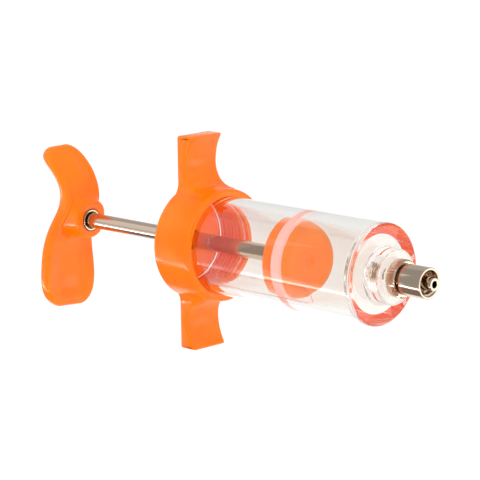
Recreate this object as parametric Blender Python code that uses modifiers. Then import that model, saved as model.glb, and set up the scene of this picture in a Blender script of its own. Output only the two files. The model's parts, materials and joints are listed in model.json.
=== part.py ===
"""Veterinary syringe, about 30 ml, with a screwed finger cap, a palm handle and a metal Luer lock nozzle.

The syringe lies along X: nozzle at +X, handle at -X, finger wings up and down along Z.
Lengths along the axis are counted from the front face of the barrel, and the whole
object is then moved so that the centre of its box is the world origin.
"""
import math

import bmesh
import bpy

MM = 0.001

# Clearances
SEAT_GAP = 0.25 * MM            # between two pieces that are clamped or pressed together
SEAL_CLEARANCE = 0.10 * MM      # seal lip to bore
PISTON_CLEARANCE = 0.45 * MM    # piston discs to bore
ROD_CLEARANCE = 0.40 * MM       # rod to its hole in the cap
THREAD_CLEARANCE = 0.30 * MM    # male crest to the hole round it

# Barrel
BARREL_RADIUS = 15.75 * MM
BARREL_WALL = 3.65 * MM
BARREL_LENGTH = 77.25 * MM
BARREL_FLOOR = 3.5 * MM
BARREL_FRONT_ROUND = 0.8 * MM
FLOOR_FILLET = 1.2 * MM         # inside corner between bore and floor
NECK_RADIUS = 8.6 * MM
NECK_LENGTH = 5.3 * MM
NECK_ROUND = 0.7 * MM
NECK_FILLET = 1.6 * MM          # foot of the neck on the front face
GASKET_SEAT_DEPTH = 0.8 * MM    # counterbore in the neck that holds the gasket
OUTLET_RADIUS = 1.1 * MM
CAP_THREAD_PITCH = 1.5 * MM
CAP_THREAD_DEPTH = 0.7 * MM
CAP_THREAD_LENGTH = 10.2 * MM
THREAD_FORM = (0.15, 0.45, 0.65, 0.95)  # foot, crest, crest end and foot, as shares of a pitch

# Finger cap
CAP_LENGTH = 15.2 * MM
CAP_WALL = 2.35 * MM
CAP_DRAFT = 0.4 * MM            # radius lost from the back of the cap to its mouth
CAP_END_WALL = 3.3 * MM
CAP_REAR_ROUND = 1.5 * MM
CAP_FRONT_ROUND = 0.9 * MM
WING_REACH = 34.6 * MM          # from the axis to the flat wing end
WING_WIDTH = 14.3 * MM
WING_END_THICKNESS = 6.7 * MM
WING_WAIST_THICKNESS = 3.7 * MM
WING_WAIST_HEIGHT = 25.0 * MM   # where the finger curve is deepest
WING_ROOT_RADIUS = 7.8 * MM     # finger curve between waist and cap
WING_EDGE_ROUND = 0.9 * MM
WING_SETBACK = 0.15 * MM        # wing back face in front of the cap's back face
WING_ARC_STEPS = 6

# Piston, seal and rod
PISTON_FRONT = 28.0 * MM        # from the barrel's front face back to the piston face
HEAD_FLANGE = 1.0 * MM
HEAD_ROUND = 0.8 * MM
HEAD_DIMPLE_RADIUS = 2.0 * MM   # gate mark in the middle of the face
HEAD_DIMPLE_DEPTH = 0.4 * MM
HEAD_THREAD_DEPTH = 3.2 * MM
SEAL_WIDTH = 3.9 * MM
SEAL_DEPTH = 3.75 * MM          # from the lip inwards to the inner face
SEAL_CHAMFER = 0.45 * MM
FOLLOWER_THICKNESS = 4.0 * MM
FOLLOWER_ROUND = 0.6 * MM
ROD_RADIUS = 2.5 * MM
ROD_LENGTH = 95.4 * MM          # full diameter, between its two shoulders
ROD_END_RADIUS = 1.9 * MM
ROD_END_CHAMFER = 0.4 * MM

# Handle and its metal bush
INSERT_RADIUS = 3.5 * MM
INSERT_WALL = 0.55 * MM
INSERT_LENGTH = 7.2 * MM
INSERT_RECESS = 3.0 * MM        # how far the rod's shoulder stands inside the bush
BOSS_RADIUS = 6.15 * MM
BOSS_ROUND = 0.7 * MM
BOSS_DEPTH = 9.4 * MM
# Palm plate from the tip of the upper arm down to the end of the paddle, in mm:
# height, front face and rear face behind the boss face, half width
HANDLE_STATIONS = (
    (23.6, -14.2, -16.2, 3.0),
    (22.6, -13.2, -16.9, 5.5),
    (20.6, -11.2, -17.0, 7.3),
    (18.4, -9.0, -14.2, 7.9),
    (15.6, -6.7, -10.6, 7.9),
    (10.7, -4.4, -8.0, 7.8),
    (6.8, -3.6, -8.2, 7.8),
    (1.0, -6.6, -11.4, 8.1),
    (-5.4, -9.9, -14.4, 9.3),
    (-11.5, -11.0, -15.4, 10.7),
    (-19.0, -11.2, -15.6, 11.5),
    (-26.0, -11.3, -15.6, 10.6),
    (-29.8, -11.5, -15.5, 7.4),
    (-31.3, -12.0, -15.2, 4.0),
)
PLATE_COLUMNS = 4

# Nozzle
SHANK_RADIUS = 3.0 * MM
SHANK_LENGTH = 6.8 * MM
SHANK_THREAD_PITCH = 1.0 * MM
SHANK_THREAD_DEPTH = 0.45 * MM
GASKET_THICKNESS = 0.7 * MM
GASKET_RADIUS = 5.2 * MM
FLANGE_RADIUS = 5.85 * MM
FLANGE_THICKNESS = 3.4 * MM
FLANGE_CHAMFER = 0.35 * MM
KNURL_COUNT = 36
KNURL_DEPTH = 0.28 * MM
STUB_RADIUS = 3.2 * MM
STUB_LENGTH = 3.6 * MM
COLLAR_RADIUS = 4.8 * MM
COLLAR_WALL = 0.85 * MM
COLLAR_GROOVE = 0.7 * MM        # gap between knurled flange and collar
COLLAR_LENGTH = 8.25 * MM
COLLAR_THREAD_PITCH = 2.6 * MM
COLLAR_THREAD_DEPTH = 0.4 * MM
TIP_REACH = 2.0 * MM            # cone end in front of the collar
TIP_RADIUS = 1.97 * MM
TIP_TAPER = 0.03                # radius gained for each unit of length, a 6 % Luer cone
NOZZLE_BORE_RADIUS = 1.08 * MM

OVERSHOOT = 2.0 * MM            # how far a cutter runs past the face that it opens
SHARP_ANGLE = 35.0              # degrees

ROUND_STEPS = 36
SMALL_STEPS = 24

# Derived places along the axis, from the barrel's front face
BORE_RADIUS = BARREL_RADIUS - BARREL_WALL
BARREL_REAR = -BARREL_LENGTH
CAP_INNER_REAR = BARREL_REAR - SEAT_GAP
CAP_REAR = CAP_INNER_REAR - CAP_END_WALL
CAP_FRONT = CAP_REAR + CAP_LENGTH
CAP_BORE_RADIUS = BARREL_RADIUS + THREAD_CLEARANCE
CAP_RADIUS = CAP_BORE_RADIUS + CAP_WALL
CAP_MOUTH_RADIUS = CAP_RADIUS - CAP_DRAFT
WING_REAR = CAP_REAR + WING_SETBACK
PISTON_RADIUS = BORE_RADIUS - PISTON_CLEARANCE
SEAL_RADIUS = BORE_RADIUS - SEAL_CLEARANCE
SEAL_INNER_RADIUS = SEAL_RADIUS - SEAL_DEPTH
HEAD_HUB_RADIUS = SEAL_INNER_RADIUS - SEAT_GAP
HEAD_FACE = -PISTON_FRONT
HEAD_FLANGE_REAR = HEAD_FACE - HEAD_FLANGE
SEAL_FRONT = HEAD_FLANGE_REAR - SEAT_GAP
SEAL_REAR = SEAL_FRONT - SEAL_WIDTH
HUB_REAR = SEAL_REAR
FOLLOWER_FRONT = HUB_REAR - SEAT_GAP
FOLLOWER_REAR = FOLLOWER_FRONT - FOLLOWER_THICKNESS
ROD_FRONT = FOLLOWER_REAR - SEAT_GAP
ROD_REAR = ROD_FRONT - ROD_LENGTH
HANDLE_FACE = ROD_REAR + INSERT_RECESS
NECK_FRONT = NECK_LENGTH
GASKET_SEAT = NECK_FRONT - GASKET_SEAT_DEPTH
GASKET_REAR = GASKET_SEAT + SEAT_GAP
GASKET_FRONT = GASKET_REAR + GASKET_THICKNESS
FLANGE_REAR = GASKET_FRONT + SEAT_GAP
FLANGE_FRONT = FLANGE_REAR + FLANGE_THICKNESS
COLLAR_REAR = FLANGE_FRONT + COLLAR_GROOVE
COLLAR_FRONT = COLLAR_REAR + COLLAR_LENGTH
TIP_FRONT = COLLAR_FRONT + TIP_REACH
SHANK_REAR = FLANGE_REAR - SHANK_LENGTH
SHANK_HOLE_RADIUS = SHANK_RADIUS + THREAD_CLEARANCE
SHANK_HOLE_REAR = SHANK_REAR - SEAT_GAP
COLLAR_BORE_RADIUS = COLLAR_RADIUS - COLLAR_WALL
COLLAR_HOLE_RADIUS = STUB_RADIUS + SEAT_GAP

MERGE = 0.00001


def clear_scene():
    for old in list(bpy.data.objects):
        bpy.data.objects.remove(old, do_unlink=True)


def make_collection(name):
    group = bpy.data.collections.new(name)
    bpy.context.scene.collection.children.link(group)
    return group


def make_material(name, color, roughness, metallic=0.0, transmission=0.0, ior=1.5):
    material = bpy.data.materials.new(name)
    material.use_nodes = True
    shader = material.node_tree.nodes["Principled BSDF"]
    shader.inputs["Base Color"].default_value = (*color, 1.0)
    shader.inputs["Roughness"].default_value = roughness
    shader.inputs["Metallic"].default_value = metallic
    shader.inputs["Transmission Weight"].default_value = transmission
    shader.inputs["IOR"].default_value = ior
    material.diffuse_color = (*color, 1.0)
    return material


def link_mesh(name, mesh, group, material=None):
    piece = bpy.data.objects.new(name, mesh)
    group.objects.link(piece)
    if material:
        mesh.materials.append(material)
    return piece


def turned(name, profile, steps, group, material=None, closed=True):
    """Turn (radius, x) points round the X axis; outer side runs from +X to -X.

    The turn starts half a step round, so that a flat of every round piece faces straight down.
    """
    start = math.pi / steps
    mesh = bpy.data.meshes.new(name)
    count = len(profile)
    edges = [(i, i + 1) for i in range(count - 1)]
    if closed:
        edges.append((count - 1, 0))
    places = [(radius * math.cos(start), radius * math.sin(start), x) for radius, x in profile]
    mesh.from_pydata(places, edges, [])
    piece = link_mesh(name, mesh, group, material)
    screw = piece.modifiers.new("turn", "SCREW")
    screw.axis = "Z"
    screw.angle = 2.0 * math.pi
    screw.steps = steps
    screw.render_steps = steps
    screw.use_merge_vertices = True
    screw.merge_threshold = MERGE
    piece.rotation_euler = (0.0, math.pi / 2.0, 0.0)
    return piece


def outline_solid(name, points, half_thickness, rounding, group, material=None):
    """A flat outline in its local XY plane, thickened both ways along Z with rounded edges."""
    curve = bpy.data.curves.new(name + "_outline", "CURVE")
    curve.dimensions = "2D"
    curve.fill_mode = "BOTH"
    curve.extrude = half_thickness - rounding
    curve.bevel_depth = rounding
    curve.bevel_resolution = 1
    curve.offset = -rounding
    spline = curve.splines.new("POLY")
    spline.points.add(len(points) - 1)
    for point, (u, v) in zip(spline.points, points):
        point.co = (u, v, 0.0, 1.0)
    spline.use_cyclic_u = True
    drawn = bpy.data.objects.new(name + "_outline", curve)
    group.objects.link(drawn)
    bpy.context.view_layer.update()
    evaluated = drawn.evaluated_get(bpy.context.evaluated_depsgraph_get())
    mesh = bpy.data.meshes.new_from_object(evaluated)
    bpy.data.objects.remove(drawn, do_unlink=True)
    bpy.data.curves.remove(curve)
    bm = bmesh.new()
    bm.from_mesh(mesh)
    bmesh.ops.remove_doubles(bm, verts=bm.verts, dist=MERGE)
    bmesh.ops.recalc_face_normals(bm, faces=bm.faces)
    bm.to_mesh(mesh)
    bm.free()
    mesh.materials.clear()
    return link_mesh(name, mesh, group, material)


def cutter_only(piece):
    piece.hide_render = True
    piece.display_type = "WIRE"
    return piece


def combine(piece, other, operation):
    boolean = piece.modifiers.new(operation.lower() + "_" + other.name, "BOOLEAN")
    boolean.operation = operation
    boolean.object = other
    boolean.solver = "EXACT"
    return boolean


def arc(center_r, center_x, radius, start, end, count):
    """Points of a rounded corner, angles in degrees from +radius towards +X."""
    points = []
    for i in range(count + 1):
        angle = math.radians(start + (end - start) * i / count)
        points.append((center_r + radius * math.cos(angle), center_x + radius * math.sin(angle)))
    return points


def thread_rings(root, crest, start, end, pitch):
    """Vee ridges of a screw thread, drawn as rings, from start towards end."""
    direction = 1.0 if end > start else -1.0
    count = max(1, int(abs(end - start) / pitch + 1e-6))
    points = []
    for i in range(count):
        x = start + direction * pitch * i
        for radius, share in zip((root, crest, crest, root), THREAD_FORM):
            points.append((radius, x + direction * share * pitch))
    return points


def build_barrel(parts, material):
    """Clear barrel: thick wall, front floor with a neck for the nozzle, open threaded rear."""
    edge = BARREL_FRONT_ROUND
    root = BARREL_RADIUS - CAP_THREAD_DEPTH
    seat_radius = GASKET_RADIUS + SEAT_GAP
    profile = [(SHANK_HOLE_RADIUS, GASKET_SEAT), (seat_radius, GASKET_SEAT), (seat_radius, NECK_FRONT)]
    profile += arc(NECK_RADIUS - NECK_ROUND, NECK_FRONT - NECK_ROUND, NECK_ROUND, 90, 0, 2)
    profile += arc(NECK_RADIUS + NECK_FILLET, NECK_FILLET, NECK_FILLET, 180, 270, 3)
    profile += arc(BARREL_RADIUS - edge, -edge, edge, 90, 0, 2)
    thread_start = BARREL_REAR + CAP_THREAD_LENGTH
    profile.append((BARREL_RADIUS, thread_start))
    profile += thread_rings(root, BARREL_RADIUS, thread_start, BARREL_REAR, CAP_THREAD_PITCH)
    profile.append((root, BARREL_REAR))
    profile.append((BORE_RADIUS, BARREL_REAR))
    fillet = FLOOR_FILLET
    profile += arc(BORE_RADIUS - fillet, -BARREL_FLOOR - fillet, fillet, 0, 90, 3)
    profile.append((OUTLET_RADIUS, -BARREL_FLOOR))
    profile.append((OUTLET_RADIUS, SHANK_HOLE_REAR))
    profile.append((SHANK_HOLE_RADIUS, SHANK_HOLE_REAR))
    return turned("barrel", profile, ROUND_STEPS, parts, material)


def wing_outline():
    """One wing seen from the side, as (x, z): flat back, flat end, finger curve in front."""
    waist_x = WING_REAR + WING_WAIST_THICKNESS
    end_x = WING_REAR + WING_END_THICKNESS
    rise = WING_REACH - WING_WAIST_HEIGHT
    depth = WING_END_THICKNESS - WING_WAIST_THICKNESS
    outer_radius = (rise * rise + depth * depth) / (2.0 * depth)
    sweep = math.asin(rise / outer_radius)
    points = [(WING_REAR, 0.0), (WING_REAR, WING_REACH), (end_x, WING_REACH)]
    for i in range(1, WING_ARC_STEPS + 1):
        angle = sweep * (1.0 - i / WING_ARC_STEPS)
        x = waist_x + outer_radius * (1.0 - math.cos(angle))
        points.append((x, WING_WAIST_HEIGHT + outer_radius * math.sin(angle)))
    for i in range(1, WING_ARC_STEPS + 1):
        angle = math.pi / 2.0 * i / WING_ARC_STEPS
        x = waist_x + WING_ROOT_RADIUS * (1.0 - math.cos(angle))
        points.append((x, WING_WAIST_HEIGHT - WING_ROOT_RADIUS * math.sin(angle)))
    points.append((waist_x + WING_ROOT_RADIUS, 0.0))
    return points


def build_cap(parts, cutters, material):
    """Finger cap: a threaded ring with an end wall and two finger wings."""
    rear = CAP_REAR_ROUND
    front = CAP_FRONT_ROUND
    profile = [(0.0, CAP_FRONT)]
    profile += arc(CAP_MOUTH_RADIUS - front, CAP_FRONT - front, front, 90, 0, 2)
    profile += arc(CAP_RADIUS - rear, CAP_REAR + rear, rear, 0, -90, 3)
    profile.append((0.0, CAP_REAR))
    cap = turned("barrel_cap", profile, ROUND_STEPS, parts, material, closed=False)
    for side, sign in (("upper", 1.0), ("lower", -1.0)):
        points = [(x, sign * z) for x, z in wing_outline()]
        wing = outline_solid("wing_" + side, points, WING_WIDTH / 2.0, WING_EDGE_ROUND, cutters)
        wing.rotation_euler = (math.pi / 2.0, 0.0, 0.0)
        combine(cap, cutter_only(wing), "UNION")
    bore_profile = [
        (0.0, CAP_FRONT + OVERSHOOT),
        (CAP_BORE_RADIUS, CAP_FRONT + OVERSHOOT),
        (CAP_BORE_RADIUS, CAP_INNER_REAR),
        (0.0, CAP_INNER_REAR),
    ]
    bore = turned("cap_bore", bore_profile, ROUND_STEPS, cutters, closed=False)
    combine(cap, cutter_only(bore), "DIFFERENCE")
    hole_radius = ROD_RADIUS + ROD_CLEARANCE
    hole_profile = [
        (0.0, CAP_INNER_REAR + OVERSHOOT),
        (hole_radius, CAP_INNER_REAR + OVERSHOOT),
        (hole_radius, CAP_REAR - OVERSHOOT),
        (0.0, CAP_REAR - OVERSHOOT),
    ]
    hole = turned("cap_rod_hole", hole_profile, SMALL_STEPS, cutters, closed=False)
    combine(cap, cutter_only(hole), "DIFFERENCE")
    return cap


def build_piston(parts, orange, silicone):
    """Piston head with its hub, the seal round the hub, and the follower disc behind."""
    thread_hole = ROD_END_RADIUS + THREAD_CLEARANCE
    hole_end = HUB_REAR + HEAD_THREAD_DEPTH
    head_profile = [(0.0, HEAD_FACE - HEAD_DIMPLE_DEPTH), (HEAD_DIMPLE_RADIUS, HEAD_FACE)]
    head_profile += arc(PISTON_RADIUS - HEAD_ROUND, HEAD_FACE - HEAD_ROUND, HEAD_ROUND, 90, 0, 2)
    head_profile += [
        (PISTON_RADIUS, HEAD_FLANGE_REAR),
        (HEAD_HUB_RADIUS, HEAD_FLANGE_REAR),
        (HEAD_HUB_RADIUS, HUB_REAR),
        (thread_hole, HUB_REAR),
        (thread_hole, hole_end),
        (0.0, hole_end),
    ]
    turned("piston_head", head_profile, ROUND_STEPS, parts, orange, closed=False)

    seal_profile = [
        (SEAL_INNER_RADIUS, SEAL_FRONT),
        (SEAL_RADIUS - SEAL_CHAMFER, SEAL_FRONT),
        (SEAL_RADIUS, SEAL_FRONT - SEAL_CHAMFER),
        (SEAL_RADIUS, SEAL_REAR + SEAL_CHAMFER),
        (SEAL_RADIUS - SEAL_CHAMFER, SEAL_REAR),
        (SEAL_INNER_RADIUS, SEAL_REAR),
    ]
    turned("piston_seal", seal_profile, ROUND_STEPS, parts, silicone)

    edge = FOLLOWER_ROUND
    follower_profile = [(ROD_END_RADIUS + SEAT_GAP, FOLLOWER_FRONT), (PISTON_RADIUS, FOLLOWER_FRONT)]
    follower_profile += arc(PISTON_RADIUS - edge, FOLLOWER_REAR + edge, edge, 0, -90, 2)
    follower_profile.append((ROD_END_RADIUS + SEAT_GAP, FOLLOWER_REAR))
    turned("piston_follower", follower_profile, ROUND_STEPS, parts, orange)


def build_rod(parts, material):
    """Plated rod with a thinner screwed end for the piston and one for the handle."""
    front_end = HUB_REAR + HEAD_THREAD_DEPTH - SEAT_GAP
    rear_end = HANDLE_FACE - INSERT_LENGTH + SEAT_GAP
    chamfer = ROD_END_CHAMFER
    profile = [
        (0.0, front_end),
        (ROD_END_RADIUS - chamfer, front_end),
        (ROD_END_RADIUS, front_end - chamfer),
        (ROD_END_RADIUS, ROD_FRONT),
        (ROD_RADIUS, ROD_FRONT),
        (ROD_RADIUS, ROD_REAR),
        (ROD_END_RADIUS, ROD_REAR),
        (ROD_END_RADIUS, rear_end + chamfer),
        (ROD_END_RADIUS - chamfer, rear_end),
        (0.0, rear_end),
    ]
    return turned("plunger_rod", profile, SMALL_STEPS, parts, material, closed=False)


def build_insert(parts, material):
    """Plated bush moulded into the handle: open recess in front, thread hole behind."""
    rear = HANDLE_FACE - INSERT_LENGTH
    recess = HANDLE_FACE - INSERT_RECESS - SEAT_GAP
    mouth = INSERT_RADIUS - INSERT_WALL
    thread_hole = ROD_END_RADIUS + THREAD_CLEARANCE
    profile = [
        (mouth, HANDLE_FACE),
        (INSERT_RADIUS, HANDLE_FACE),
        (INSERT_RADIUS, rear),
        (thread_hole, rear),
        (thread_hole, recess),
        (mouth, recess),
    ]
    return turned("handle_insert", profile, SMALL_STEPS, parts, material)


def build_handle(parts, cutters, material):
    """Palm handle: a curved plate on a round boss, bored for the metal bush.

    Seen from the side the arm leans back into a hook at the top, comes forward above the
    boss and runs back again into the wide flat paddle.
    """
    rows = len(HANDLE_STATIONS)
    bm = bmesh.new()
    bmesh.ops.create_cube(bm, size=2.0)
    upright = [e for e in bm.edges if abs(e.verts[0].co.z - e.verts[1].co.z) > 1.0]
    bmesh.ops.subdivide_edges(bm, edges=upright, cuts=rows - 2, use_grid_fill=True)
    across = [e for e in bm.edges if abs(e.verts[0].co.y - e.verts[1].co.y) > 1.0]
    bmesh.ops.subdivide_edges(bm, edges=across, cuts=PLATE_COLUMNS - 1, use_grid_fill=True)
    for vert in bm.verts:
        row = round((1.0 - vert.co.z) / 2.0 * (rows - 1))
        height, front, rear, half_width = (size * MM for size in HANDLE_STATIONS[row])
        x = front if vert.co.x > 0.0 else rear
        vert.co = (HANDLE_FACE + x, vert.co.y * half_width, height)
    mesh = bpy.data.meshes.new("plunger_handle")
    bm.to_mesh(mesh)
    bm.free()
    handle = link_mesh("plunger_handle", mesh, parts, material)
    smooth = handle.modifiers.new("round", "SUBSURF")
    smooth.levels = 1
    smooth.render_levels = 1

    depth = HANDLE_FACE - BOSS_DEPTH
    boss_profile = [(0.0, HANDLE_FACE)]
    boss_profile += arc(BOSS_RADIUS - BOSS_ROUND, HANDLE_FACE - BOSS_ROUND, BOSS_ROUND, 90, 0, 2)
    boss_profile += [(BOSS_RADIUS, depth), (0.0, depth)]
    boss = turned("handle_boss", boss_profile, SMALL_STEPS, cutters, closed=False)
    combine(handle, cutter_only(boss), "UNION")

    hole_radius = INSERT_RADIUS + SEAT_GAP
    hole_rear = HANDLE_FACE - INSERT_LENGTH - SEAT_GAP
    hole_profile = [
        (0.0, HANDLE_FACE + OVERSHOOT),
        (hole_radius, HANDLE_FACE + OVERSHOOT),
        (hole_radius, hole_rear),
        (0.0, hole_rear),
    ]
    hole = turned("handle_hole", hole_profile, SMALL_STEPS, cutters, closed=False)
    combine(handle, cutter_only(hole), "DIFFERENCE")
    return handle


def build_nozzle(parts, cutters, metal, rubber):
    """Nozzle body with shank, knurled flange and Luer cone, its lock collar and its gasket."""
    root = SHANK_RADIUS - SHANK_THREAD_DEPTH
    cone_rear = COLLAR_REAR + STUB_LENGTH
    cone_root = TIP_RADIUS + TIP_TAPER * (TIP_FRONT - cone_rear)
    core_profile = [
        (NOZZLE_BORE_RADIUS, TIP_FRONT),
        (TIP_RADIUS, TIP_FRONT),
        (cone_root, cone_rear),
        (STUB_RADIUS, cone_rear),
        (STUB_RADIUS, FLANGE_REAR + FLANGE_THICKNESS / 2.0),
        (root, FLANGE_REAR + FLANGE_THICKNESS / 3.0),
    ]
    core_profile += thread_rings(root, SHANK_RADIUS, FLANGE_REAR, SHANK_REAR, SHANK_THREAD_PITCH)
    core_profile += [(root, SHANK_REAR), (NOZZLE_BORE_RADIUS, SHANK_REAR)]
    body = turned("nozzle_body", core_profile, SMALL_STEPS, parts, metal)

    points = []
    for i in range(2 * KNURL_COUNT):
        radius = FLANGE_RADIUS - (KNURL_DEPTH if i % 2 else 0.0)
        angle = math.pi * i / KNURL_COUNT
        points.append((radius * math.cos(angle), radius * math.sin(angle)))
    half = FLANGE_THICKNESS / 2.0
    flange = outline_solid("knurled_flange", points, half, FLANGE_CHAMFER, cutters)
    flange.rotation_euler = (0.0, math.pi / 2.0, 0.0)
    flange.location.x = FLANGE_REAR + half
    combine(body, cutter_only(flange), "UNION")
    bore_profile = [
        (0.0, TIP_FRONT + OVERSHOOT),
        (NOZZLE_BORE_RADIUS, TIP_FRONT + OVERSHOOT),
        (NOZZLE_BORE_RADIUS, SHANK_REAR - OVERSHOOT),
        (0.0, SHANK_REAR - OVERSHOOT),
    ]
    bore = turned("nozzle_bore", bore_profile, SMALL_STEPS, cutters, closed=False)
    combine(body, cutter_only(bore), "DIFFERENCE")

    collar_wall_front = COLLAR_REAR + STUB_LENGTH - SEAT_GAP
    crest = COLLAR_BORE_RADIUS - COLLAR_THREAD_DEPTH
    thread_start = COLLAR_FRONT - COLLAR_THREAD_DEPTH
    inner = thread_rings(
        COLLAR_BORE_RADIUS, crest, thread_start, thread_start - COLLAR_THREAD_PITCH, COLLAR_THREAD_PITCH / 2.0
    )
    collar_profile = [
        (COLLAR_RADIUS, COLLAR_FRONT),
        (COLLAR_RADIUS, COLLAR_REAR),
        (COLLAR_HOLE_RADIUS, COLLAR_REAR),
        (COLLAR_HOLE_RADIUS, collar_wall_front),
        (COLLAR_BORE_RADIUS, collar_wall_front),
    ]
    collar_profile += list(reversed(inner))
    collar_profile.append((COLLAR_BORE_RADIUS, COLLAR_FRONT))
    turned("lock_collar", collar_profile, SMALL_STEPS, parts, metal)

    inner_radius = SHANK_RADIUS + THREAD_CLEARANCE
    gasket_profile = [
        (inner_radius, GASKET_FRONT),
        (GASKET_RADIUS, GASKET_FRONT),
        (GASKET_RADIUS, GASKET_REAR),
        (inner_radius, GASKET_REAR),
    ]
    turned("nozzle_gasket", gasket_profile, SMALL_STEPS, parts, rubber)


def centre_on_origin(parts, cutters):
    """Put the centre of the finished object's box at the world origin."""
    bpy.context.view_layer.update()
    depsgraph = bpy.context.evaluated_depsgraph_get()
    xs = []
    for piece in parts.objects:
        evaluated = piece.evaluated_get(depsgraph)
        mesh = evaluated.to_mesh()
        xs += [(evaluated.matrix_world @ vert.co).x for vert in mesh.vertices]
        evaluated.to_mesh_clear()
    frame = bpy.data.objects.new("syringe_frame", None)
    parts.objects.link(frame)
    for piece in list(parts.objects) + list(cutters.objects):
        if piece is not frame:
            piece.parent = frame
    frame.location.x = -(min(xs) + max(xs)) / 2.0
    bpy.context.view_layer.update()
    return frame


def finish_pieces(parts):
    """Apply the modifiers, then shade the round faces smooth and keep the corners crisp."""
    depsgraph = bpy.context.evaluated_depsgraph_get()
    finished = {}
    for piece in parts.objects:
        if piece.type == "MESH":
            finished[piece] = bpy.data.meshes.new_from_object(piece.evaluated_get(depsgraph))
    for piece, mesh in finished.items():
        piece.modifiers.clear()
        piece.data = mesh
        mesh.shade_smooth()
        mesh.set_sharp_from_angle(angle=math.radians(SHARP_ANGLE))


def main():
    clear_scene()
    parts = make_collection("veterinary_syringe")
    cutters = make_collection("cutters")
    orange = make_material("orange_plastic", (1.0, 0.22, 0.02), 0.3)
    clear = make_material("clear_plastic", (0.93, 0.93, 0.93), 0.05, transmission=1.0, ior=1.58)
    silicone = make_material("silicone", (0.95, 0.75, 0.70), 0.4)
    plated_rod = make_material("plated_steel", (0.72, 0.66, 0.58), 0.2, metallic=1.0)
    plated_brass = make_material("plated_brass", (0.78, 0.70, 0.60), 0.15, metallic=1.0)

    build_barrel(parts, clear)
    build_cap(parts, cutters, orange)
    build_piston(parts, orange, silicone)
    build_rod(parts, plated_rod)
    build_insert(parts, plated_brass)
    build_handle(parts, cutters, orange)
    build_nozzle(parts, cutters, plated_brass, silicone)
    centre_on_origin(parts, cutters)
    finish_pieces(parts)


main()
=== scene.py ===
import json
import math

import bmesh
import bpy
from mathutils import Matrix, Vector

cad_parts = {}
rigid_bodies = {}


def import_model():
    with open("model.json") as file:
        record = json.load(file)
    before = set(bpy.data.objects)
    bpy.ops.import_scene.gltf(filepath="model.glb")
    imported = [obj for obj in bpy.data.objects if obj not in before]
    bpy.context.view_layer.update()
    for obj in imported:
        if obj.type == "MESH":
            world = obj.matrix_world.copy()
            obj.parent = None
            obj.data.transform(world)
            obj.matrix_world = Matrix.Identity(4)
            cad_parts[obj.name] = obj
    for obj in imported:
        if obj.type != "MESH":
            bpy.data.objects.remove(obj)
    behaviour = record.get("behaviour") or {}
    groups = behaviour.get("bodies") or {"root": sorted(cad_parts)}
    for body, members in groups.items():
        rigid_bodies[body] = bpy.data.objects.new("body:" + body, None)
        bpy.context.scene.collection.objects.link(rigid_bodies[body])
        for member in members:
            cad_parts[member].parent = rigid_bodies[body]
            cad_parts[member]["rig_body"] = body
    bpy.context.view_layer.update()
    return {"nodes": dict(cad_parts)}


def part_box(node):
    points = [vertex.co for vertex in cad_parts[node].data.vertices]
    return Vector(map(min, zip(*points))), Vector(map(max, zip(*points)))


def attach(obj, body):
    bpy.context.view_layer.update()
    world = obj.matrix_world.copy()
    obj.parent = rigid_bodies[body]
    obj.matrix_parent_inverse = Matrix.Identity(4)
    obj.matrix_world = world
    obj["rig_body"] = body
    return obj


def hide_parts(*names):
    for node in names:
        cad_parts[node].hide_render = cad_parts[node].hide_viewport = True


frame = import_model()

mm = 0.001
mergeGap = 0.0005 * mm  # points nearer than this are one point
smallestFace = 1e-14  # square metres; smaller ones are slivers of a Boolean
nozzleReach = 20.05  # nozzle end in front of the barrel's front face, mm
# Every x below is counted from the barrel's front face, in mm
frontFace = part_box("nozzle_body")[1].x - nozzleReach * mm
finishedPieces = []


def place(x, y=0.0, z=0.0):
    return Vector((frontFace + x * mm, y * mm, z * mm))


def linear(code):
    shares = [int(code[i:i + 2], 16) / 255 for i in (1, 3, 5)]
    return [s / 12.92 if s <= 0.04045 else ((s + 0.055) / 1.055) ** 2.4 for s in shares] + [1.0]


# Mesh helpers

def roundCorners(corners, closed, steps=6):
    points = []
    last = len(corners) - 1
    for i, (x, radius, fillet) in enumerate(corners):
        here = Vector((x, radius))
        if fillet == 0 or (not closed and i in (0, last)):
            points.append(here)
            continue
        back = (Vector(corners[i - 1][:2]) - here).normalized()
        ahead = (Vector(corners[(i + 1) % len(corners)][:2]) - here).normalized()
        half = back.angle(ahead) / 2
        centre = here + (back + ahead).normalized() * fillet / math.sin(half)
        start = here + back * fillet / math.tan(half) - centre
        end = here + ahead * fillet / math.tan(half) - centre
        for step in range(steps + 1):
            points.append(centre + start.lerp(end, step / steps).normalized() * fillet)
    return points


def tidyMesh(bm):
    bmesh.ops.remove_doubles(bm, verts=bm.verts, dist=mergeGap)
    bmesh.ops.recalc_face_normals(bm, faces=bm.faces)


# Corners are (x, radius, fillet) in mm, spun round the syringe's axis
def spinProfile(corners, closed=True, steps=128):
    bm = bmesh.new()
    points = roundCorners(corners, closed)
    verts = [bm.verts.new(place(x, 0, radius)) for x, radius in points]
    edges = [bm.edges.new(pair) for pair in zip(verts, verts[1:])]
    if closed:
        edges.append(bm.edges.new((verts[-1], verts[0])))
    bmesh.ops.spin(bm, geom=verts + edges, cent=place(0), axis=(1, 0, 0), angle=2 * math.pi,
                   steps=steps, use_merge=True)
    tidyMesh(bm)
    return bm


def ridgeSection(foot, footHalf, crest, crestHalf):
    return [(-footHalf, foot), (-crestHalf, crest), (crestHalf, crest), (footHalf, foot)]


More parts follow.
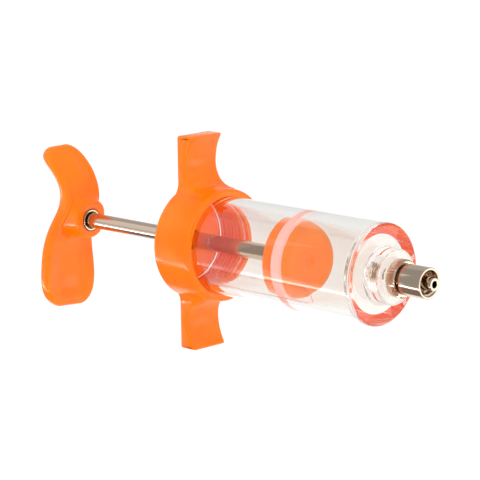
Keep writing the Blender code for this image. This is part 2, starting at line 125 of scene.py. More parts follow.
def spinScrew(section, start, pitch, turns, stepsPerTurn):
    bm = bmesh.new()
    verts = [bm.verts.new(place(start + x, 0, radius)) for x, radius in section]
    edges = [bm.edges.new(pair) for pair in zip(verts, verts[1:] + verts[:1])]
    bmesh.ops.spin(bm, geom=verts + edges, cent=place(0), axis=(1, 0, 0),
                   angle=2 * math.pi * turns, dvec=(pitch * mm / stepsPerTurn, 0, 0),
                   steps=round(turns * stepsPerTurn))
    ends = [e for e in bm.edges if e.is_boundary]
    bmesh.ops.holes_fill(bm, edges=ends, sides=len(section))
    tidyMesh(bm)
    return bm


def newObject(name, bm):
    mesh = bpy.data.meshes.new(name)
    bm.to_mesh(mesh)
    bm.free()
    piece = bpy.data.objects.new(name, mesh)
    bpy.context.scene.collection.objects.link(piece)
    return piece


def applyModifiers(piece):
    bpy.context.view_layer.update()
    seen = piece.evaluated_get(bpy.context.evaluated_depsgraph_get())
    made = bpy.data.meshes.new_from_object(seen)
    piece.modifiers.clear()
    piece.data = made
    return piece


def dropSlivers(piece):
    bm = bmesh.new()
    bm.from_mesh(piece.data)
    bmesh.ops.remove_doubles(bm, verts=bm.verts, dist=mergeGap)
    bmesh.ops.dissolve_degenerate(bm, dist=mergeGap, edges=bm.edges)
    loose = [f for f in bm.faces
             if f.calc_area() < smallestFace or all(len(e.link_faces) < 2 for e in f.edges)]
    bmesh.ops.delete(bm, geom=loose, context="FACES")
    bm.to_mesh(piece.data)
    bm.free()
    return piece


def joinSolid(piece, bm):
    other = newObject(piece.name + "_tool", bm)
    boolean = piece.modifiers.new("join", "BOOLEAN")
    boolean.operation = "UNION"
    boolean.solver = "EXACT"
    boolean.object = other
    applyModifiers(piece)
    bpy.data.objects.remove(other, do_unlink=True)
    return dropSlivers(piece)


def finishPiece(piece, node, material, sharp=32):
    piece.name = node + "_look"
    piece.data.materials.clear()
    piece.data.materials.append(material)
    piece.data.shade_smooth()
    piece.data.set_sharp_from_angle(angle=math.radians(sharp))
    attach(piece, frame["nodes"][node]["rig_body"])
    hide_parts(node)
    finishedPieces.append(piece)
    print("made", piece.name, len(piece.data.polygons), "faces")


# Material helpers; every pattern's size is in mm on the real piece, and a roughness is given
# as (smoothest, roughest)

def newMaterial(name):
    material = bpy.data.materials.new(name)
    material.use_nodes = True
    material.node_tree.nodes.clear()
    return material, material.node_tree


def addNode(tree, kind, values=None, links=None, **settings):
    node = tree.nodes.new(kind)
    for key, value in settings.items():
        setattr(node, key, value)
    for key, value in (values or {}).items():
        node.inputs[key].default_value = value
    for key, source in (links or {}).items():
        tree.links.new(source, node.inputs[key])
    return node


# Orange polypropylene, injection moulded: glossy skin, faint flow clouds, and light that bleeds
# a little below the surface. The grain is drawn coarser than real moulded skin, so that it shows
orangeLook = {
    "colour": "#FF7C06", "deeper": "#FF7203", "cloud": 14.0, "cloudFrom": 0.35, "cloudTo": 0.65,
    "ripple": 5.0, "rippleDepth": 0.008, "grain": 0.45, "grainDepth": 0.0012,
    "roughness": (0.10, 0.22), "gloss": 0.32, "ior": 1.49,
    "bleed": 0.5, "bleedReach": 4.0, "bleedShares": (1.0, 0.35, 0.12),
}


def makeOrangePlastic(look):
    material, tree = newMaterial("mouldedOrangePolypropylene")
    where = addNode(tree, "ShaderNodeTexCoord").outputs["Object"]
    cloud = addNode(tree, "ShaderNodeTexNoise",
                    {"Scale": 1 / (look["cloud"] * mm), "Detail": 2.0}, {"Vector": where})
    tint = addNode(tree, "ShaderNodeValToRGB", {}, {"Fac": cloud.outputs["Fac"]})
    low, high = tint.color_ramp.elements
    low.position, low.color = look["cloudFrom"], linear(look["deeper"])
    high.position, high.color = look["cloudTo"], linear(look["colour"])
    ripple = addNode(tree, "ShaderNodeTexNoise",
                     {"Scale": 1 / (look["ripple"] * mm), "Detail": 1.0}, {"Vector": where})
    grain = addNode(tree, "ShaderNodeTexNoise",
                    {"Scale": 1 / (look["grain"] * mm), "Detail": 3.0}, {"Vector": where})
    smoothest, roughest = look["roughness"]
    gloss = addNode(tree, "ShaderNodeMapRange", {"To Min": smoothest, "To Max": roughest},
                    {"Value": grain.outputs["Fac"]})
    wave = addNode(tree, "ShaderNodeBump",
                   {"Strength": 1.0, "Distance": look["rippleDepth"] * mm},
                   {"Height": ripple.outputs["Fac"]})
    skin = addNode(tree, "ShaderNodeBump",
                   {"Strength": 1.0, "Distance": look["grainDepth"] * mm},
                   {"Height": grain.outputs["Fac"], "Normal": wave.outputs["Normal"]})
    shader = addNode(tree, "ShaderNodeBsdfPrincipled",
                     {"IOR": look["ior"], "Specular IOR Level": look["gloss"],
                      "Subsurface Weight": look["bleed"],
                      "Subsurface Scale": look["bleedReach"] * mm,
                      "Subsurface Radius": look["bleedShares"]},
                     {"Base Color": tint.outputs["Color"], "Roughness": gloss.outputs["Result"],
                      "Normal": skin.outputs["Normal"]})
    addNode(tree, "ShaderNodeOutputMaterial", {}, {"Surface": shader.outputs["BSDF"]})
    return material


# Clear plastic such as polycarbonate, injection moulded and polished: bends light, warm grey in
# thick places. Shadow and diffuse rays go straight through it, so what is inside isn't dark
clearLook = {
    "colour": "#F8F7F3", "shadow": "#FFFEFE", "gloss": 0.3, "ior": 1.58,
    "wave": 9.0, "waveDepth": 0.003,
}


def makeClearPlastic(look):
    material, tree = newMaterial("polishedClearPlastic")
    where = addNode(tree, "ShaderNodeTexCoord").outputs["Object"]
    wave = addNode(tree, "ShaderNodeTexNoise",
                   {"Scale": 1 / (look["wave"] * mm), "Detail": 1.0}, {"Vector": where})
    flow = addNode(tree, "ShaderNodeBump",
                   {"Strength": 1.0, "Distance": look["waveDepth"] * mm},
                   {"Height": wave.outputs["Fac"]})
    shader = addNode(tree, "ShaderNodeBsdfPrincipled",
                     {"Base Color": linear(look["colour"]), "Roughness": 0.0,
                      "IOR": look["ior"], "Specular IOR Level": look["gloss"],
                      "Transmission Weight": 1.0},
                     {"Normal": flow.outputs["Normal"]})
    straight = addNode(tree, "ShaderNodeBsdfTransparent", {"Color": linear(look["shadow"])})
    path = addNode(tree, "ShaderNodeLightPath")
    either = addNode(tree, "ShaderNodeMath", {},
                     {0: path.outputs["Is Shadow Ray"], 1: path.outputs["Is Diffuse Ray"]},
                     operation="MAXIMUM")
    mix = addNode(tree, "ShaderNodeMixShader", {},
                  {0: either.outputs["Value"], 1: shader.outputs["BSDF"],
                   2: straight.outputs["BSDF"]})
    addNode(tree, "ShaderNodeOutputMaterial", {}, {"Surface": mix.outputs["Shader"]})
    return material


# Pink silicone rubber, compression moulded: satin, slightly translucent. Its grain, as the
# gasket's, is drawn coarser than the real one, so that it shows
siliconeLook = {
    "name": "mouldedPinkSilicone", "colour": "#FFB6AA", "roughness": (0.34, 0.50), "grain": 0.3,
    "grainDepth": 0.003, "ior": 1.41,
    "bleed": 0.4, "bleedReach": 1.5, "bleedShares": (1.0, 0.5, 0.4),
}
# Clear silicone rubber, die cut: milky and pale, so the gasket hardly shows inside the neck
gasketLook = {
    **siliconeLook, "name": "dieCutMilkySilicone", "colour": "#EADFD0",
    "roughness": (0.42, 0.58), "bleed": 0.6, "grain": 0.2,
}


def makeSilicone(look):
    material, tree = newMaterial(look["name"])
    where = addNode(tree, "ShaderNodeTexCoord").outputs["Object"]
    grain = addNode(tree, "ShaderNodeTexNoise",
                    {"Scale": 1 / (look["grain"] * mm), "Detail": 3.0}, {"Vector": where})
    skin = addNode(tree, "ShaderNodeBump",
                   {"Strength": 1.0, "Distance": look["grainDepth"] * mm},
                   {"Height": grain.outputs["Fac"]})
    smoothest, roughest = look["roughness"]
    gloss = addNode(tree, "ShaderNodeMapRange", {"To Min": smoothest, "To Max": roughest},
                    {"Value": grain.outputs["Fac"]})
    shader = addNode(tree, "ShaderNodeBsdfPrincipled",
                     {"Base Color": linear(look["colour"]), "IOR": look["ior"],
                      "Subsurface Weight": look["bleed"],
                      "Subsurface Scale": look["bleedReach"] * mm,
                      "Subsurface Radius": look["bleedShares"]},
                     {"Roughness": gloss.outputs["Result"], "Normal": skin.outputs["Normal"]})
    addNode(tree, "ShaderNodeOutputMaterial", {}, {"Surface": shader.outputs["BSDF"]})
    return material


# Nickel-plated metal: warm grey mirror. The marks' three sizes set which way the tool marks
# run, along the rod or round the nozzle; they are coarser than real ones, so that they show
steelLook = {
    "name": "nickelPlatedDrawnSteel", "colour": "#D4BFAD", "roughness": (0.08, 0.21),
    "marks": (30.0, 0.35, 0.35), "markDepth": 0.0015, "cloud": 3.0, "cloudDull": (-0.02, 0.03),
}
brassLook = {
    **steelLook, "name": "nickelPlatedTurnedBrass", "colour": "#D8C6B2",
    "roughness": (0.05, 0.18), "marks": (0.16, 6.0, 6.0), "markDepth": 0.002,
}


def makePlatedMetal(look):
    material, tree = newMaterial(look["name"])
    where = addNode(tree, "ShaderNodeTexCoord").outputs["Object"]
    stretch = addNode(tree, "ShaderNodeMapping",
                      {"Scale": [1 / (size * mm) for size in look["marks"]]}, {"Vector": where})
    marks = addNode(tree, "ShaderNodeTexNoise", {"Scale": 1.0, "Detail": 3.0},
                    {"Vector": stretch.outputs["Vector"]})
    cloud = addNode(tree, "ShaderNodeTexNoise",
                    {"Scale": 1 / (look["cloud"] * mm), "Detail": 2.0}, {"Vector": where})
    smoothest, roughest = look["roughness"]
    gloss = addNode(tree, "ShaderNodeMapRange", {"To Min": smoothest, "To Max": roughest},
                    {"Value": marks.outputs["Fac"]})
    least, most = look["cloudDull"]
    dull = addNode(tree, "ShaderNodeMapRange", {"To Min": least, "To Max": most},
                   {"Value": cloud.outputs["Fac"]})
    rough = addNode(tree, "ShaderNodeMath", {},
                    {0: gloss.outputs["Result"], 1: dull.outputs["Result"]}, operation="ADD")
    skin = addNode(tree, "ShaderNodeBump",
                   {"Strength": 1.0, "Distance": look["markDepth"] * mm},
                   {"Height": marks.outputs["Fac"]})
    shader = addNode(tree, "ShaderNodeBsdfPrincipled",
                     {"Base Color": linear(look["colour"]), "Metallic": 1.0},
                     {"Roughness": rough.outputs["Value"], "Normal": skin.outputs["Normal"]})
    addNode(tree, "ShaderNodeOutputMaterial", {}, {"Surface": shader.outputs["BSDF"]})
    return material


orangePlastic = makeOrangePlastic(orangeLook)
clearPlastic = makeClearPlastic(clearLook)
pinkSilicone = makeSilicone(siliconeLook)
milkySilicone = makeSilicone(gasketLook)
platedSteel = makePlatedMetal(steelLook)
platedBrass = makePlatedMetal(brassLook)
print("materials ready")

# Barrel: thick clear tube, front floor with a short neck, screwed rear, raised bead outline on
# the near side. A thread's ridge has half widths at its foot and crest; its foot is sunk in
# the wall, and here its crest stays short of the barrel's outside
barrelSizes = {
    "radius": 15.75, "bore": 12.1, "length": 77.25, "floor": 3.5, "frontRound": 1.0,
    "floorFillet": 0.5, "boreEdge": 0.3, "rearEdge": 0.4,
    "neckRadius": 8.6, "neckFront": 5.3, "neckRound": 0.7, "neckFillet": 0.8, "neckEdge": 0.12,
    "seatRadius": 5.45, "seat": 4.5, "seatEdge": 0.1,
    "shankHole": 3.06, "shankHoleEnd": -1.35, "outlet": 1.1, "outletEdge": 0.25,
    "threadRoot": 15.05, "threadStart": -67.0, "threadStep": 0.4, "threadEdge": 0.2,
    "threadPitch": 1.5, "threadTurns": 6.6, "threadLead": 0.7,
    "ridgeFoot": 0.5, "ridgeCrest": 0.15, "ridgeSunk": 0.15, "ridgeShort": 0.03,
    "ridgeSteps": 90, "steps": 160,
}
# Raised bead round a bare panel, wrapped on the barrel: x span in mm, angle span in degrees
# above the near side, and the rest in mm
beadSizes = {
    "from": -55.9, "to": -15.9, "low": -37.0, "high": -15.0, "corner": 2.8, "cornerSteps": 8,
    "width": 0.5, "height": 0.2, "root": 0.12, "longSide": 20.0, "longCuts": 49,
}


def makeBead(size, radius):
    low, high = (math.radians(size[key]) * radius for key in ("low", "high"))
    corners = ((size["to"], high), (size["from"], high), (size["from"], low), (size["to"], low))
    bm = bmesh.new()
    loops = []
    for inset in (0.0, size["width"]):
        outline = []
        for quarter, (x, along) in enumerate(corners):
            inX = -1 if x == size["to"] else 1
            inAlong = -1 if along == high else 1
            centre = Vector((x + inX * size["corner"], along + inAlong * size["corner"]))
            for step in range(size["cornerSteps"] + 1):
                angle = math.pi / 2 * (quarter + step / size["cornerSteps"])
                spoke = Vector((math.cos(angle), math.sin(angle)))
                outline.append(centre + (size["corner"] - inset) * spoke)
        verts = [bm.verts.new((p.x, p.y, 0.0)) for p in outline]
        loops.append([bm.edges.new(pair) for pair in zip(verts, verts[1:] + verts[:1])])
    bmesh.ops.bridge_loops(bm, edges=loops[0] + loops[1])
    long = [e for e in bm.edges if e.calc_length() > size["longSide"]]
    bmesh.ops.subdivide_edges(bm, edges=long, cuts=size["longCuts"], use_grid_fill=True)
    raised = bmesh.ops.extrude_face_region(bm, geom=list(bm.faces))
    for vert in [v for v in raised["geom"] if isinstance(v, bmesh.types.BMVert)]:
        vert.co.z = size["height"] + size["root"]
    bmesh.ops.recalc_face_normals(bm, faces=bm.faces)
    for vert in bm.verts:
        x, along, up = vert.co
        out = radius - size["root"] + up
        vert.co = place(x, -out * math.cos(along / radius), out * math.sin(along / radius))
    tidyMesh(bm)
    return bm


def makeBarrel(size, bead):
    rear = -size["length"]
    stepRear = size["threadStart"] - size["threadStep"]
    bm = spinProfile([
        (size["seat"], size["shankHole"], size["seatEdge"]),
        (size["seat"], size["seatRadius"], size["seatEdge"]),
        (size["neckFront"], size["seatRadius"], size["neckEdge"]),
        (size["neckFront"], size["neckRadius"], size["neckRound"]),
        (0.0, size["neckRadius"], size["neckFillet"]),
        (0.0, size["radius"], size["frontRound"]),
        (size["threadStart"], size["radius"], size["threadEdge"]),
        (stepRear, size["threadRoot"], size["threadEdge"]),
        (rear, size["threadRoot"], size["rearEdge"]),
        (rear, size["bore"], size["boreEdge"]),
        (-size["floor"], size["bore"], size["floorFillet"]),
        (-size["floor"], size["outlet"], size["outletEdge"]),
        (size["shankHoleEnd"], size["outlet"], 0),
        (size["shankHoleEnd"], size["shankHole"], 0)], steps=size["steps"])
    barrel = newObject("barrel_look", bm)
    section = ridgeSection(size["threadRoot"] - size["ridgeSunk"], size["ridgeFoot"],
                           size["radius"] - size["ridgeShort"], size["ridgeCrest"])
    joinSolid(barrel, spinScrew(section, rear + size["threadLead"], size["threadPitch"],
                                size["threadTurns"], size["ridgeSteps"]))
    return joinSolid(barrel, makeBead(bead, size["radius"]))


finishPiece(makeBarrel(barrelSizes, beadSizes), "barrel", clearPlastic, 28)

# Finger cap: screwed ring with an end wall, two finger wings with flared roots
capSizes = {
    "rear": -80.8, "front": -65.6, "radius": 18.4, "mouth": 18.0, "bore": 15.73,
    "innerRear": -77.3, "hole": 2.9, "rearRound": 1.5, "frontRound": 0.9, "mouthEdge": 0.25,
    "holeEdge": 0.3, "innerHoleEdge": 0.2, "innerEdge": 0.3, "steps": 160,
    "threadPitch": 1.5, "threadTurns": 5.6, "threadStart": -75.8, "threadCrest": 15.03,
    "ridgeFoot": 0.66, "ridgeCrest": 0.33, "ridgeSunk": 0.1, "ridgeSteps": 90,
}
# A wing's front follows a round root, then one long curve from the waist to the end
wingSizes = {
    "rear": -80.65, "reach": 34.6, "width": 14.3, "flare": 2.3, "flareTop": 19.5, "root": 16.2,
    "waist": 3.7, "waistHeight": 25.0, "endThickness": 6.7, "rootRadius": 7.8, "rows": 9,
    "edgeRound": 0.9, "edgeSegments": 4, "edgeFrom": 1.0,  # radians
    "baseLeft": 0.1,
}


def makeWing(size, side):
    waistX = size["rear"] + size["waist"]
    rise = size["reach"] - size["waistHeight"]
    depth = size["endThickness"] - size["waist"]
    sweepRadius = (rise * rise + depth * depth) / (2 * depth)
    sweep = math.asin(rise / sweepRadius)
    rows = [(size["root"], waistX + size["rootRadius"])]
    for i in range(size["rows"] + 1):
        angle = math.pi / 2 * (1 - i / size["rows"])
        rows.append((size["waistHeight"] - size["rootRadius"] * math.sin(angle),
                     waistX + size["rootRadius"] * (1 - math.cos(angle))))
    for i in range(1, size["rows"] + 1):
        angle = sweep * i / size["rows"]
        rows.append((size["waistHeight"] + sweepRadius * math.sin(angle),
                     waistX + sweepRadius * (1 - math.cos(angle))))
    bm = bmesh.new()
    bmesh.ops.create_cube(bm, size=2.0)
    upright = [e for e in bm.edges if abs(e.verts[0].co.z - e.verts[1].co.z) > 1]
    bmesh.ops.subdivide_edges(bm, edges=upright, cuts=len(rows) - 2, use_grid_fill=True)
    flareHeight = size["flareTop"] - size["root"]
    for vert in bm.verts:
        height, frontX = rows[round((vert.co.z + 1) / 2 * (len(rows) - 1))]
        low = max(0.0, (size["flareTop"] - height) / flareHeight)
        halfWidth = size["width"] / 2 + low ** 2 * size["flare"] / 2
        x = frontX if vert.co.x > 0 else size["rear"]
        vert.co = place(x, vert.co.y * halfWidth, height * side)
    bmesh.ops.recalc_face_normals(bm, faces=bm.faces)
    base = min(abs(v.co.z) for v in bm.verts) + size["baseLeft"] * mm
    sharp = [e for e in bm.edges
             if e.calc_face_angle(0) > size["edgeFrom"]
             and max(abs(v.co.z) for v in e.verts) > base]
    bmesh.ops.bevel(bm, geom=sharp, offset=size["edgeRound"] * mm, offset_type="OFFSET",
                    segments=size["edgeSegments"], profile=0.5, affect="EDGES", material=-1,
                    clamp_overlap=True)
    tidyMesh(bm)
    return bm


def makeCap(size, wing):
    bm = spinProfile([
        (size["front"], size["bore"], size["mouthEdge"]),
        (size["front"], size["mouth"], size["frontRound"]),
        (size["rear"], size["radius"], size["rearRound"]),
        (size["rear"], size["hole"], size["holeEdge"]),
        (size["innerRear"], size["hole"], size["innerHoleEdge"]),
        (size["innerRear"], size["bore"], size["innerEdge"])], steps=size["steps"])
    cap = newObject("cap_look", bm)
    section = ridgeSection(size["bore"] + size["ridgeSunk"], size["ridgeFoot"],
                           size["threadCrest"], size["ridgeCrest"])
    joinSolid(cap, spinScrew(section, size["threadStart"], size["threadPitch"],
                             size["threadTurns"], size["ridgeSteps"]))
    for side in (1, -1):
        joinSolid(cap, makeWing(wing, side))
    return cap


finishPiece(makeCap(capSizes, wingSizes), "barrel_cap", orangePlastic)

# Piston: two rounded discs that clamp the seal, which is pressed 0.02 mm into the bore
pistonSizes = {
    "face": -28.0, "flangeRear": -29.2, "clampRear": -33.35, "rear": -37.4, "radius": 11.65,
    "hub": 8.0, "screw": 1.9, "screwDepth": 0.8, "faceRound": 1.0, "faceReach": 3.4,
    "domeSteps": 10, "flangeEdge": 0.12, "clampEdge": 0.15, "rearRound": 0.6,
    "dimple": 2.3, "dimpleFloor": 1.035, "dimpleDepth": 0.45, "dimpleRound": 0.4, "steps": 128,
}
sealSizes = {
    "radius": 12.12, "round": 0.35, "lead": 1.0, "leadRound": 0.3, "frontSunk": 0.3,
    "frontEdge": 0.1, "steps": 160,
}


def makePistonHead(size):
    dome = []
    for i in range(size["domeSteps"] + 1):
        turn = math.pi / 2 * i / size["domeSteps"]
        dome.append((size["face"] - size["faceRound"] * (1 - math.cos(turn)),
                     size["radius"] - size["faceReach"] * (1 - math.sin(turn)), 0))
    dimpleX = size["face"] - size["dimpleDepth"]
    screwX = size["flangeRear"] - size["screwDepth"]
    return newObject("head", spinProfile([
        (dimpleX, 0.0, 0), (dimpleX, size["dimpleFloor"], size["dimpleRound"]),
        (size["face"], size["dimple"], size["dimpleRound"]), *dome,
        (size["flangeRear"], size["radius"], size["flangeEdge"]),
        (size["flangeRear"], size["hub"], 0), (size["clampRear"], size["hub"], 0),
        (size["clampRear"], size["screw"], 0), (screwX, size["screw"], 0),
        (screwX, 0.0, 0)], closed=False, steps=size["steps"]))


def makeSeal(size, piston):
    front, rear = piston["flangeRear"], piston["clampRear"]
    return newObject("seal", spinProfile([
        (front, piston["hub"], 0),
        (front, piston["radius"] - size["frontSunk"], size["frontEdge"]),
        (front - size["lead"], size["radius"], size["leadRound"]),
        (rear, size["radius"], size["round"]),
        (rear, piston["hub"], 0)], steps=size["steps"]))


def makeFollower(size):
    return newObject("follower", spinProfile([
        (size["clampRear"], size["screw"], 0),
        (size["clampRear"], size["radius"], size["clampEdge"]),
        (size["rear"], size["radius"], size["rearRound"]),
        (size["rear"], size["screw"], 0)], steps=size["steps"]))


finishPiece(makePistonHead(pistonSizes), "piston_head", orangePlastic)
finishPiece(makeSeal(sealSizes, pistonSizes), "piston_seal", pinkSilicone)
finishPiece(makeFollower(pistonSizes), "piston_follower", orangePlastic)

# Rod and the bush that holds it in the handle
rodSizes = {
    "radius": 2.5, "endRadius": 1.9, "front": -37.4, "rear": -133.05, "frontEnd": -30.1,
    "rearEnd": -137.0, "edge": 0.25, "endRound": 0.3, "steps": 96,
}
insertSizes = {
    "face": -129.95, "rear": -137.25, "radius": 3.5, "mouth": 2.95, "shoulder": -133.2,
    "screw": 1.9, "edge": 0.14, "steps": 96,
}


def makeRod(size):
    return newObject("rod", spinProfile([
        (size["frontEnd"], 0.0, 0), (size["frontEnd"], size["endRadius"], size["endRound"]),
        (size["front"], size["endRadius"], 0), (size["front"], size["radius"], size["edge"]),
        (size["rear"], size["radius"], size["edge"]), (size["rear"], size["endRadius"], 0),
        (size["rearEnd"], size["endRadius"], size["endRound"]),
        (size["rearEnd"], 0.0, 0)], closed=False, steps=size["steps"]))


def makeInsert(size):
    return newObject("insert", spinProfile([
        (size["face"], size["mouth"], size["edge"]),
        (size["face"], size["radius"], size["edge"]),
        (size["rear"], size["radius"], 0), (size["rear"], size["screw"], 0),
        (size["shoulder"], size["screw"], 0),
        (size["shoulder"], size["mouth"], 0)], steps=size["steps"]))


finishPiece(makeRod(rodSizes), "plunger_rod", platedSteel)
finishPiece(makeInsert(insertSizes), "handle_insert", platedBrass)

# Palm handle: a control cage under Subdivision Surface. Each row, from the tip down to the end
# of the paddle, is height, front and rear behind the boss face, half width, rib on the front
# and dish in the front. "columns" share a half width out to the middle as (most mm, share)
handleSizes = {
    "face": -130.05, "edge": 1.5, "edgeShare": 0.2, "columns": ((4.7, 0.62), (2.3, 0.31)),
    "ribSide": 0.2, "dishColumns": 2, "subdivision": 3,
    "rows": [
        (23.9, -14.3, -16.2, 3.4, 0.0, 0.0),
        (22.9, -13.2, -17.0, 5.6, 0.0, 0.0),
        (20.8, -11.2, -17.0, 7.2, 0.6, 0.0),
        (18.4, -9.0, -14.2, 7.7, 1.2, 0.0),
        (15.6, -6.5, -10.6, 7.8, 1.5, 0.0),
        (12.6, -4.7, -8.6, 7.6, 1.3, 0.0),
        (9.4, -2.9, -8.0, 7.2, 0.0, 0.0),
        (4.6, -2.6, -9.2, 6.9, 0.0, 0.0),
        (0.3, -6.4, -11.8, 7.4, 0.0, 0.0),
        (-4.2, -9.1, -13.8, 8.7, 0.0, 0.0),
        (-8.8, -10.5, -14.9, 9.6, 0.0, 0.0),
        (-12.4, -11.0, -15.4, 10.2, 0.0, 0.6),
        (-19.0, -11.0, -15.6, 10.9, 0.0, 1.7),
        (-25.0, -11.1, -15.6, 10.8, 0.0, 1.5),
        (-29.2, -11.5, -15.5, 8.9, 0.0, 0.1),
        (-31.5, -12.0, -15.2, 5.2, 0.0, 0.0),
    ],
    # Rings of the boss, from the plate outwards and then into the hole: half width, reach up,
    # reach down, depth, how the depth grows upwards and downwards, and whether it is counted
    # from the plate's front instead of from the boss face
    "bossRings": [
        (6.6, 8.8, 8.9, 0.0, 0.0, 0.0, True),
        (6.4, 7.8, 7.2, 0.9, -0.3, 0.0, True),
        (6.3, 7.1, 6.35, -1.7, 0.4, 0.4, False),
        (6.3, 6.5, 6.3, -0.5, 0.0, 0.0, False),
        (5.75, 5.75, 5.75, 0.0, 0.0, 0.0, False),
        (4.1, 4.1, 4.1, 0.0, 0.0, 0.0, False),
        (3.5, 3.5, 3.5, -0.12, 0.0, 0.0, False),
        (3.5, 3.5, 3.5, -7.1, 0.0, 0.0, False),
        (3.2, 3.2, 3.2, -7.4, 0.0, 0.0, False),
    ],
    "patchTop": 6, "patchBase": 10, "patchReach": 2, "patchDepth": -11.0, "patchFacing": 0.3,
    "patchSlack": 0.1,
    "straightFrom": 5.0, "straighten": 1.3,  # upper half of the wide rings, nearly square
    "turn": 0.6, "skew": 0.08, "skewFrom": -21.0, "skewLength": 8.0,
}


def handleFront(rows, height):
    for upper, lower in zip(rows, rows[1:]):
        if lower[0] <= height <= upper[0]:
            share = (height - lower[0]) / (upper[0] - lower[0])
            return lower[1] + share * (upper[1] - lower[1])
    return rows[-1][1]


# A point of the square patch, so many columns and rows from its middle, goes to a disc
def discPlace(across, up):
    ring = max(abs(across), abs(up))
    if ring == 0:
        return 0.0, 0.0, 0.0
    if abs(across) >= abs(up):
        turn = math.pi / 4 * up / ring
        angle = turn if across > 0 else math.pi - turn
    else:
        turn = math.pi / 4 * across / ring
        angle = math.pi / 2 - turn if up > 0 else -math.pi / 2 + turn
    return ring, math.cos(angle), math.sin(angle)


def makeHandle(size):
    rows = size["rows"]
    face = size["face"]
    bm = bmesh.new()
    bmesh.ops.create_grid(bm, x_segments=8, y_segments=len(rows) - 1, size=1.0)
    columnOf = bm.verts.layers.int.new("column")  # -4 to 4 from side to side
    rowOf = bm.verts.layers.int.new("row")
    for vert in bm.verts:
        column = round(vert.co.x * 4)
        vert[columnOf] = column
        vert[rowOf] = round((1 - vert.co.y) / 2 * (len(rows) - 1))
        height, front, rear, width, rib, dish = rows[vert[rowOf]]
        shares = [min(most, share * width) for most, share in size["columns"]]
        across = (0.0, *reversed(shares), width - min(size["edge"], size["edgeShare"] * width),
                  width)
        raised = {0: rib, 1: size["ribSide"] * rib}.get(abs(column), 0.0)
        if abs(column) <= size["dishColumns"]:
            raised -= dish
        y = math.copysign(across[abs(column)], column) if column else 0.0
        vert.co = place(face + front + raised, y, height)
    thick = bmesh.ops.extrude_face_region(bm, geom=list(bm.faces))
    for vert in [v for v in thick["geom"] if isinstance(v, bmesh.types.BMVert)]:
        vert.co.x = place(face + rows[vert[rowOf]][2]).x
    reach = size["patchReach"]
    patch = range(size["patchTop"], size["patchBase"] + 1)
    middle = (size["patchTop"] + size["patchBase"]) // 2
    lowest = place(face + size["patchDepth"]).x
    faces = [f for f in bm.faces
             if all(v[rowOf] in patch and abs(v[columnOf]) <= reach
                    and v.co.x > place(face + rows[v[rowOf]][1] - size["patchSlack"]).x
                    for v in f.verts)
             and f.calc_center_median().x > lowest and abs(f.normal.x) > size["patchFacing"]]
    for i, (side, top, bottom, depth, above, below, onPlate) in enumerate(size["bossRings"]):
        if i > 0:
            grown = bmesh.ops.extrude_face_region(bm, geom=faces)
            bmesh.ops.delete(bm, geom=faces, context="FACES")
            faces = [f for f in grown["geom"] if isinstance(f, bmesh.types.BMFace)]
        for vert in {v for f in faces for v in f.verts}:
            ring, across, up = discPlace(vert[columnOf], middle - vert[rowOf])
            ring /= reach
            if up > 0 and side > size["straightFrom"]:
                across = max(-1.0, min(1.0, size["straighten"] * across))
            y = side * across * ring
            z = (top if up > 0 else bottom) * up * ring
            x = depth + (above if up > 0 else below) * up
            if onPlate:
                x += handleFront(rows, z)
            vert.co = place(face + x, y, z)
    bmesh.ops.recalc_face_normals(bm, faces=bm.faces)
    for vert in bm.verts:
        below = (size["skewFrom"] * mm - vert.co.z) / (size["skewLength"] * mm)
        vert.co.z -= min(1.0, max(0.0, below)) * size["skew"] * vert.co.y
    bmesh.ops.rotate(bm, verts=bm.verts, cent=place(0),
                     matrix=Matrix.Rotation(math.radians(size["turn"]), 3, "X"))
    handle = newObject("handle", bm)
    smooth = handle.modifiers.new("round", "SUBSURF")
    smooth.levels = size["subdivision"]
    smooth.render_levels = size["subdivision"]
    return applyModifiers(handle)


finishPiece(makeHandle(handleSizes), "plunger_handle", orangePlastic, 60)

# Nozzle: screwed shank, knurled flange and Luer cone; lock collar round the cone
nozzleSizes = {
    "bore": 1.08, "boreEdge": 0.1, "tip": nozzleReach, "tipRadius": 1.97, "tipEdge": 0.15,
    "tipRound": 0.2, "taper": 0.03, "coneRear": 13.4, "coneRound": 0.2, "stub": 3.2,
    "stubFillet": 0.1, "flangeRear": 5.7, "flangeFront": 9.1, "flange": 5.85, "chamfer": 0.35,
    "teeth": 36, "toothDepth": 0.26, "toothPattern": (0, 0, 1, 1), "toothBase": 0.05,
    "shankRoot": 2.6, "shankFillet": 0.15, "shankRear": -1.1, "shankRound": 0.3,
    "shankCrest": 3.08, "shankPitch": 1.0, "shankTurns": 5.6, "shankLead": 0.6,
    "ridgeFoot": 0.42, "ridgeCrest": 0.06, "ridgeSunk": 0.1, "ridgeSteps": 64,
}
collarSizes = {
    "rear": 9.8, "front": 18.05, "radius": 4.8, "frontRound": 0.3, "rearRound": 0.35,
    "stub": 3.2, "floor": 13.2, "bore": 3.95, "floorFillet": 0.2, "mouthEdge": 0.25,
    "lockCrest": 3.5, "lockPitch": 5.2, "lockTurns": 0.62, "lockDepth": 3.7, "lockTurn": 0.4,
    "ridgeFoot": 0.55, "ridgeCrest": 0.2, "ridgeSunk": 0.1, "ridgeSteps": 96, "steps": 128,
}
# The gasket fills the space between the barrel's seat and the flange
gasketSizes = {"holeGap": 0.1, "holeEdge": 0.15, "rimGap": 0.12, "rimRound": 0.3, "steps": 96}


